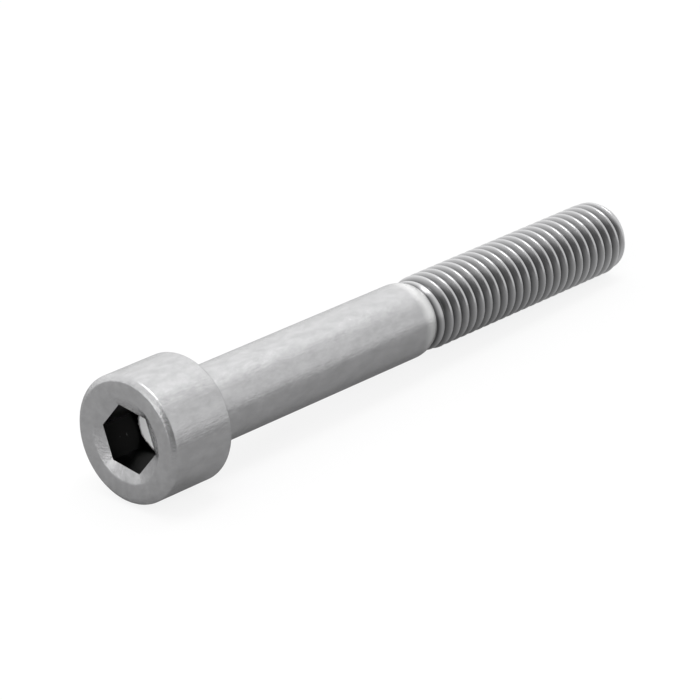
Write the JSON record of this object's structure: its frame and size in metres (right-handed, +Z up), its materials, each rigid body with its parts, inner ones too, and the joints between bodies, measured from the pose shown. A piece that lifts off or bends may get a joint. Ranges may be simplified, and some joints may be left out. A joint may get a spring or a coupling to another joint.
{
  "type": "hex socket cap screw",
  "caption": "Hex socket cap screw with a smooth cylindrical head, a plain shank and a rolled right-hand coarse thread with a bevelled tip.",
  "frame": {"origin": "on the surface that the screw lies on, below the middle of its length and on its centre line", "axes": "+X along the lying screw from its head to its tip, +Z up from the surface; the screw's own axis dips 2.27 degrees towards the tip, because the head is thicker than the thread"},
  "size_m": [0.0732, 0.013, 0.0133],
  "materials": {
    "stainless_steel": "satin, as cold formed and tumbled"
  },
  "bodies": {
    "root": {"cap_screw": "stainless_steel"}
  },
  "joints": []
}
